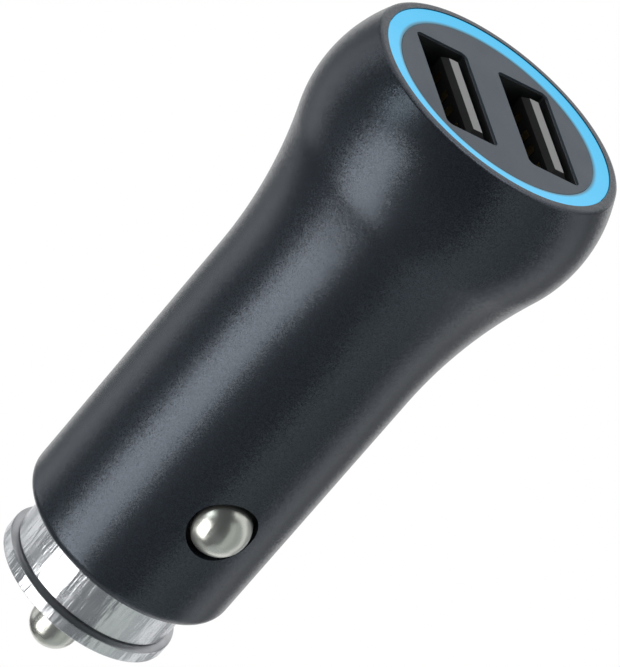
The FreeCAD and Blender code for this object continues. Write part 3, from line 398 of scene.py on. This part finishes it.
finishes = {
    "shell_paint": buildShellPaint(),
    "ring_light": buildRingLight(),
    "face_plastic": plastic("facePlastic", (0.058, 0.082, 0.108), 0.5, grain=0.12, shade=0.1),
    "port_steel": metal("portSteel", (0.2, 0.205, 0.215), 0.3, rings=0.03, smudge=0.2),
    "tongue_plastic": buildTongue(),
    "contact_plating": metal("contactPlating", (0.80, 0.60, 0.28), 0.2),
    "board_laminate": plastic("boardLaminate", (0.012, 0.09, 0.035), 0.3, grain=0.4, shade=0.3,
                              Coat_Weight=0.3, Coat_Roughness=0.15),
    "led_case": plastic("lampCase", (0.8, 0.8, 0.7), 0.4),
    "carrier_plastic": plastic("carrierPlastic", (0.012, 0.012, 0.013), 0.45),
    "spring_steel": metal("springSteel", (0.55, 0.55, 0.55), 0.2, rings=0.1),
    "bright_chrome": metal("brightChrome", (0.80, 0.82, 0.85), 0.17, rings=0.04, smudge=0.16,
                           waves=0.14, Metallic=0.86),
    "capacitor_can": metal("capacitorCan", (0.7, 0.71, 0.72), 0.3, rings=0.06),
    "ferrite": plastic("ferrite", (0.02, 0.02, 0.02), 0.6, grain=0.2, shade=0.3, depth=0.02),
    "copper_wire": metal("copperWire", (0.62, 0.2, 0.08), 0.25, rings=0.1, Coat_Weight=0.5),
    "chip_case": plastic("chipCase", (0.015, 0.015, 0.016), 0.5, grain=0.1, depth=0.01),
    "fuse_case": plastic("fuseCase", (0.72, 0.72, 0.66), 0.4),
    "small_part_case": plastic("smallPartCase", (0.3, 0.22, 0.14), 0.45, shade=0.25),
    "nickel_plate": metal("nickelPlate", (0.68, 0.69, 0.64), 0.19, rings=0.05, smudge=0.14,
                          waves=0.05, Metallic=0.9),
}
# Darkened chrome: painted shade in the nose collar's groove and on the slope below it.
grooveShadeMetal = metal("grooveShadeChrome", (0.5, 0.51, 0.53), 0.2, rings=0.05, smudge=0.3)
# Near-black nickel: painted shade on the contact flanges, seen through the gap round each dome.
flangeShadeMetal = metal("contactFlangeShade", (0.045, 0.045, 0.043), 0.5, rings=0.05, smudge=0.2)

for entry in frame["record"]["subparts"]:
    node = frame["nodes"][entry["node"]]
    node.data.materials.clear()
    node.data.materials.append(finishes[entry["material_slot"]])
print("materials on", len(frame["nodes"]), "nodes")


# Shell

def buildShell():
    size = {
        "barrelRadius": 10.45, "wall": 0.9, "noseEnd": -27.85, "endRound": 1.5, "endBore": 7.3,
        "flareRun": 19.8, "bulgeRound": 13.2, "faceRadius": 12.243, "faceHeight": 26.0,
        "rimBore": 11.503, "rimRound": 0.27,
    }
    hole = {"radius": 3.13, "height": -16.5, "length": 26, "sides": 128}
    steps = {"round": 256, "end": 10, "barrel": 60, "hollow": 40, "bulge": 48, "inside": 24,
             "bore": 8}
    barrel, wall, run = size["barrelRadius"], size["wall"], size["flareRun"]
    over = size["faceHeight"] - run
    bulge = size["bulgeRound"]
    bulgeMiddle = size["faceRadius"] - math.sqrt(bulge ** 2 - over ** 2)
    rise = bulgeMiddle + bulge - barrel
    hollow = (run ** 2 + rise ** 2) / (2 * rise) - bulge
    hollowMiddle = barrel + hollow
    meet = math.degrees(math.asin(run / (hollow + bulge)))
    crest = math.degrees(math.asin(over / bulge))
    land = run + math.sqrt((bulge - wall) ** 2 - (size["rimBore"] - bulgeMiddle) ** 2)
    inCrest = math.degrees(math.atan2(land - run, size["rimBore"] - bulgeMiddle))
    endMiddle = (barrel - size["endRound"], size["noseEnd"] + size["endRound"])

    # the outside, from the nose end up
    shape = bmesh.new()
    inner = shape.verts.new((size["endBore"] * mm, 0, size["noseEnd"] * mm))
    corner = drawLine(shape, inner, (endMiddle[0], size["noseEnd"]))
    corner = drawArc(shape, corner, endMiddle, -90, steps["end"])
    corner = drawLine(shape, corner, (barrel, 0), steps["barrel"])
    corner = drawArc(shape, corner, (hollowMiddle, 0), meet, steps["hollow"])
    corner = drawArc(shape, corner, (bulgeMiddle, run), -(meet + crest), steps["bulge"])
    corner = drawLine(shape, corner, (size["rimBore"], size["faceHeight"]))

    # the inside, back down
    corner = drawLine(shape, corner, (size["rimBore"], land))
    corner = drawArc(shape, corner, (bulgeMiddle, run), inCrest + meet, steps["inside"])
    corner = drawArc(shape, corner, (hollowMiddle, 0), -meet, steps["inside"])
    corner = drawLine(shape, corner, (barrel - wall, size["noseEnd"] + wall), steps["bore"])
    corner = drawLine(shape, corner, (size["endBore"], size["noseEnd"] + wall))
    shape.edges.new((corner, inner))
    turnProfile(shape, steps["round"])
    rim = findRing(shape, size["faceRadius"], size["faceHeight"])
    bmesh.ops.bevel(shape, geom=rim, offset=size["rimRound"] * mm, segments=6, profile=0.5,
                    affect="EDGES", material=-1)
    shell = finishPiece(shape, "outerShell", finishes["shell_paint"], "charger", "outer_shell")

    cutter = bmesh.new()
    bmesh.ops.create_cone(cutter, cap_ends=True, segments=hole["sides"],
                          radius1=hole["radius"] * mm, radius2=hole["radius"] * mm,
                          depth=hole["length"] * mm)
    layShape(cutter, 90, (0, 0, hole["height"]))
    holes = placeShape(cutter, "contactHoles")
    cut = shell.modifiers.new("holes", "BOOLEAN")
    cut.object = holes
    cut.operation = "DIFFERENCE"
    cut.solver = "EXACT"
    applyModifiers(shell)
    bpy.data.objects.remove(holes)
    smoothPiece(shell)
    print("shell", len(shell.data.polygons), "faces")


# Nose

def buildCollar():
    size = {
        "radius": 8.05, "wall": 0.8, "top": -27.85, "foot": -32.15, "grooveDeep": 0.2,
        "grooveWide": 0.18, "slope": 0.3, "rimRadius": 8.67, "end": -33.85, "endThick": 1.0,
        "hole": 4.005, "edge": 0.12, "steps": 256,
    }
    grooveEnd = size["foot"] - size["grooveWide"]
    rimTop = grooveEnd - size["slope"]
    inside = size["radius"] - size["wall"]
    inEnd = size["end"] + size["endThick"]
    shape = bmesh.new()
    first = shape.verts.new((size["hole"] * mm, 0, size["end"] * mm))
    last = drawOutline(shape, first, (
        (size["rimRadius"], size["end"]),
        (size["rimRadius"], rimTop),
        (size["radius"], grooveEnd),
        (size["radius"] - size["grooveDeep"], grooveEnd),
        (size["radius"] - size["grooveDeep"], size["foot"]),
        (size["radius"], size["foot"]),
        (size["radius"], size["top"]),
        (inside, size["top"]),
        (inside, inEnd),
        (size["hole"], inEnd),
    ))
    shape.edges.new((last, first))
    turnProfile(shape, size["steps"])
    rims = (findRing(shape, size["rimRadius"], size["end"])
            + findRing(shape, size["rimRadius"], rimTop))
    bmesh.ops.bevel(shape, geom=rims, offset=size["edge"] * mm, segments=4, profile=0.5,
                    affect="EDGES", material=-1)

    # the groove and the slope below it are darkened as painted shade
    grooveTop = size["foot"] - size["grooveWide"] / 4
    for face in shape.faces:
        middle = face.calc_center_median() / mm
        if rimTop < middle.z < grooveTop and middle.xy.length > inside + size["wall"] / 2:
            face.material_index = 1
    collar = finishPiece(shape, "noseCollar", finishes["bright_chrome"], "charger", "nose_collar",
                         sharp=40)
    collar.data.materials.append(grooveShadeMetal)


def buildPin():
    size = {
        "radius": 2.335, "tip": -40.64, "flangeRadius": 3.605, "flangeFoot": -30.45,
        "flangeTop": -29.45, "bossRadius": 1.4, "bossTop": -28.45, "tipSteps": 24, "steps": 128,
    }
    shape = bmesh.new()
    tip = shape.verts.new((0, 0, size["tip"] * mm))
    side = drawArc(shape, tip, (0, size["tip"] + size["radius"]), -90, size["tipSteps"])
    drawOutline(shape, side, (
        (size["radius"], size["flangeFoot"]),
        (size["flangeRadius"], size["flangeFoot"]),
        (size["flangeRadius"], size["flangeTop"]),
        (size["bossRadius"], size["flangeTop"]),
        (size["bossRadius"], size["bossTop"]),
        (0, size["bossTop"]),
    ))
    turnProfile(shape, size["steps"])
    finishPiece(shape, "centrePin", finishes["nickel_plate"], "centre_pin", "centre_pin")


def buildContact(name, node, way):
    # A domed plunger, drawn upright and then laid along Y.
    size = {
        "domeRadius": 2.68, "rise": 2.0, "tip": 12.12, "wall": 0.75, "flangeRadius": 3.58,
        "flangeFront": 8.824, "flangeThick": 0.5, "height": -16.5, "margin": 0.02,
        "domeSteps": 28, "steps": 128,
    }
    ceiling = size["tip"] - size["rise"] + size["wall"]
    hollow = size["domeRadius"] - size["wall"]
    back = size["flangeFront"] - size["flangeThick"]
    domeRound = (size["domeRadius"] ** 2 + size["rise"] ** 2) / (2 * size["rise"])
    swing = math.degrees(math.asin(size["domeRadius"] / domeRound))
    shape = bmesh.new()
    tip = shape.verts.new((0, 0, size["tip"] * mm))
    side = drawArc(shape, tip, (0, size["tip"] - domeRound), swing, size["domeSteps"])
    drawOutline(shape, side, (
        (size["domeRadius"], size["flangeFront"]),
        (size["flangeRadius"], size["flangeFront"]),
        (size["flangeRadius"], back),
        (hollow, back),
        (hollow, ceiling),
        (0, ceiling),
    ))
    turnProfile(shape, size["steps"])
    # the flange, beyond the dome, is painted near black as the shade in the hole's gap
    for face in shape.faces:
        if face.calc_center_median().xy.length > (size["domeRadius"] + size["margin"]) * mm:
            face.material_index = 1
    layShape(shape, -90 * way, (0, 0, size["height"]))
    contact = finishPiece(shape, name, finishes["nickel_plate"], node, node)
    contact.data.materials.append(flangeShadeMetal)


def buildSpring(name, node, size):
    # A round wire wound along Z and laid in its place.
    steps = round(size["turns"] * size["turnSteps"])
    wireMiddle = size["wire"] / 2
    rise = (size["long"] - size["wire"]) * mm / steps
    shape = bmesh.new()
    bmesh.ops.create_circle(shape, segments=size["sides"], radius=wireMiddle * mm)
    layShape(shape, 90, (size["radius"], 0, wireMiddle))
    bmesh.ops.spin(shape, geom=shape.verts[:] + shape.edges[:], cent=(0, 0, 0), axis=(0, 0, 1),
                   dvec=(0, 0, rise), angle=math.tau * size["turns"], steps=steps,
                   use_duplicate=False)
    bmesh.ops.holes_fill(shape, edges=[edge for edge in shape.edges if edge.is_boundary])
    bmesh.ops.recalc_face_normals(shape, faces=shape.faces[:])
    layShape(shape, size["lean"], size["foot"])
    spring = finishPiece(shape, name, finishes["spring_steel"], "charger", node,
                         sharp=40)
    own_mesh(spring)


pinSpring = {
    "wire": 0.5, "radius": 2.25, "turns": 4.5, "long": 4.95, "lean": 0, "travel": 3.0,
    "foot": (0, 0, -29.45), "anchor": (0, 0, -24.5), "turnSteps": 40, "sides": 16,
}
frontSpring = {
    "wire": 0.35, "radius": 1.655, "turns": 7.5, "long": 9.92, "lean": 90, "travel": 1.9,
    "foot": (0, -0.95, -16.5), "anchor": (0, -0.95, -16.5), "turnSteps": 40, "sides": 16,
}
rearSpring = {**frontSpring, "lean": -90, "foot": (0, 0.95, -16.5), "anchor": (0, 0.95, -16.5)}

buildShell()
buildCollar()
buildPin()
buildSpring("pinSpring", "pin_spring", pinSpring)
buildSpring("earthSpringFront", "earth_spring_front", frontSpring)
buildSpring("earthSpringRear", "earth_spring_rear", rearSpring)
buildContact("earthContactFront", "earth_contact_front", -1)
buildContact("earthContactRear", "earth_contact_rear", 1)
print("turned pieces made")


# Camera: the photograph's, close to the charger and looking down on its side

def placeCamera():
    place = {"location": (-249.92, -373.995, 211.305), "turn": (58.0673, -36.1626, -13.6086),
             "lens": 316.92, "sensor": 36, "nearest": 0.01, "farthest": 10}
    lens = bpy.data.cameras.new("photoCamera")
    lens.lens = place["lens"]
    lens.sensor_width = place["sensor"]
    lens.sensor_fit = "AUTO"
    lens.clip_start = place["nearest"]
    lens.clip_end = place["farthest"]
    camera = bpy.data.objects.new("photoCamera", lens)
    camera.location = Vector(place["location"]) * mm
    camera.rotation_euler = [math.radians(turn) for turn in place["turn"]]
    bpy.context.collection.objects.link(camera)
    bpy.context.scene.camera = camera


# Studio, in metres. An angle goes round the charger's axis from the side that faces the
# camera, and rises with the eye's right; a height is along the axis.

cameraSide = -123.8


def sideways(angle):
    # The way out from the axis at an angle round it.
    turn = math.radians(cameraSide + angle)
    return Vector((math.cos(turn), math.sin(turn), 0))


def addLamp(name, angle, height, reach, wide, tall, radiance, colour):
    # A soft box at an angle round the charger, turned to face it.
    lamp = bpy.data.lights.new(name, "AREA")
    lamp.shape = "RECTANGLE"
    lamp.size, lamp.size_y = wide, tall
    lamp.energy = radiance * math.pi * wide * tall
    lamp.color = colour
    holder = bpy.data.objects.new(name, lamp)
    holder.location = sideways(angle) * reach + Vector((0, 0, height))
    holder.rotation_euler = (-holder.location).to_track_quat("-Z", "Y").to_euler()
    holder.visible_camera = False
    bpy.context.collection.objects.link(holder)


def showInReflections(shape, name, brightness):
    # Make a shape a glowing card that only reflections see.
    card = placeShape(shape, name)
    material = bpy.data.materials.new(name)
    material.use_nodes = True
    tree = material.node_tree
    tree.nodes.clear()
    glow = addNode(tree, "Emission", {"Color": (*brightness, 1), "Strength": 1.0})
    addNode(tree, "OutputMaterial", {"Surface": glow.outputs[0]})
    card.data.materials.append(material)
    card.visible_camera = False
    card.visible_shadow = False
    card.visible_diffuse = False


def addCard(name, start, stop, low, high, reach, brightness, steps=12):
    # A curved card that stands round part of the charger.
    shape = bmesh.new()
    foot = shape.verts.new(sideways(start) * reach + Vector((0, 0, low)))
    bmesh.ops.spin(shape, geom=[foot], cent=(0, 0, 0), axis=(0, 0, 1),
                   angle=math.radians(stop - start), steps=steps, use_duplicate=False)
    raised = bmesh.ops.extrude_edge_only(shape, edges=shape.edges[:])
    top = [item for item in raised["geom"] if isinstance(item, bmesh.types.BMVert)]
    bmesh.ops.translate(shape, verts=top, vec=(0, 0, high - low))
    showInReflections(shape, name, brightness)


def addFlatCard(name, start, stop, near, far, height, brightness, steps=16):
    # Part of a flat ring, below or above the charger.
    shape = bmesh.new()
    ends = [shape.verts.new(sideways(start) * reach + Vector((0, 0, height)))
            for reach in (near, far)]
    edge = shape.edges.new(ends)
    bmesh.ops.spin(shape, geom=ends + [edge], cent=(0, 0, 0), axis=(0, 0, 1),
                   angle=math.radians(stop - start), steps=steps, use_duplicate=False)
    showInReflections(shape, name, brightness)


def buildLamps():
    lamps = {
        "keyLamp": {"angle": -38.5, "height": -0.42, "reach": 0.9, "wide": 0.58, "tall": 1.15,
                    "radiance": 3.85, "colour": (1.0, 0.99, 0.97)},
        "bulgeLamp": {"angle": -57, "height": 0.36, "reach": 0.95, "wide": 0.3, "tall": 0.45,
                      "radiance": 3.2, "colour": (0.93, 1.0, 1.0)},
        "faceLamp": {"angle": 170, "height": 1.2, "reach": 0.45, "wide": 0.7, "tall": 0.7,
                     "radiance": 1.9, "colour": (0.97, 0.99, 1.0)},
    }
    for name, lamp in lamps.items():
        addLamp(name, **lamp)


def buildCards():
    front = {"start": -97, "stop": 96, "reach": 1.3, "steps": 28}
    pale = {"low": -1.05, "high": 1.5, "reach": 1.15}
    back = {"low": -1.1, "high": 0.7, "reach": 1.3, "brightness": (0.3, 0.31, 0.32)}
    standing = {
        "darkFrontFlag": {**front, "low": -1.1, "high": -0.1, "brightness": (0.09, 0.1, 0.11)},
        "darkUpperFlag": {**front, "low": -0.1, "high": 2.2, "brightness": (0.03, 0.034, 0.04)},
        "greyCard": {**pale, "start": 42, "stop": 70, "brightness": (0.56, 0.6, 0.57)},
        "dimCard": {**pale, "start": 70, "stop": 100, "brightness": (0.4, 0.43, 0.42)},
        "darkBackFlag": {**back, "start": 125, "stop": 150},
        "darkSideFlag": {**back, "start": 212, "stop": 235},
    }
    below = {"near": 0.3, "far": 1.3, "height": -1.08}
    flat = {
        "floorFlag": {**below, "start": -150, "stop": 36, "brightness": (0.05, 0.055, 0.06)},
        "floorCard": {**below, "start": 36, "stop": 112, "brightness": (0.48, 0.51, 0.52)},
        "underCard": {**below, "start": -180, "stop": 180, "near": 0.01, "far": 0.3,
                      "brightness": (0.4, 0.42, 0.41)},
        "ceilingFlag": {"start": -80, "stop": 80, "near": 0.1, "far": 1.3, "height": 2.15,
                        "brightness": (0.04, 0.044, 0.05)},
    }
    for name, card in standing.items():
        addCard(name, **card)
    for name, card in flat.items():
        addFlatCard(name, **card)


def buildFloor():
    # Plain white to the eye and in reflections, and pale grey to the light.
    size = {"radius": 3.0, "height": -1.15, "sides": 96}
    look = {"Base Color": (0.8, 0.8, 0.8, 1), "Roughness": 0.8}
    shape = bmesh.new()
    bmesh.ops.create_circle(shape, cap_ends=True, segments=size["sides"], radius=size["radius"])
    bmesh.ops.translate(shape, verts=shape.verts[:], vec=(0, 0, size["height"]))
    floor = placeShape(shape, "studioFloor")
    material = bpy.data.materials.new("studioFloor")
    material.use_nodes = True
    tree = material.node_tree
    surface = tree.nodes["Principled BSDF"]
    for label, value in look.items():
        surface.inputs[label].default_value = value
    seen = anyRay(tree, "Is Camera Ray", "Is Glossy Ray")
    white = addNode(tree, "Emission", {"Color": (1, 1, 1, 1), "Strength": 1.0})
    either = addNode(tree, "MixShader", {0: seen, 1: surface.outputs[0], 2: white.outputs[0]})
    tree.links.new(either.outputs[0], tree.nodes["Material Output"].inputs["Surface"])
    floor.data.materials.append(material)


def lightWorld():
    # White to the eye, to reflections and through glass, and dim for everything else.
    level = {"To Min": 0.35, "To Max": 1.0}
    world = bpy.data.worlds.new("studioWorld")
    bpy.context.scene.world = world
    world.use_nodes = True
    tree = world.node_tree
    tree.nodes.clear()
    seen = anyRay(tree, "Is Camera Ray", "Is Glossy Ray", "Is Transmission Ray")
    strength = addNode(tree, "MapRange", {"Value": seen, **level})
    light = addNode(tree, "Background", {"Color": (1, 1, 1, 1), "Strength": strength.outputs[0]})
    addNode(tree, "OutputWorld", {"Surface": light.outputs[0]})


placeCamera()
buildLamps()
buildCards()
buildFloor()
lightWorld()
bpy.context.scene.view_settings.view_transform = "Standard"
print("camera and studio placed")
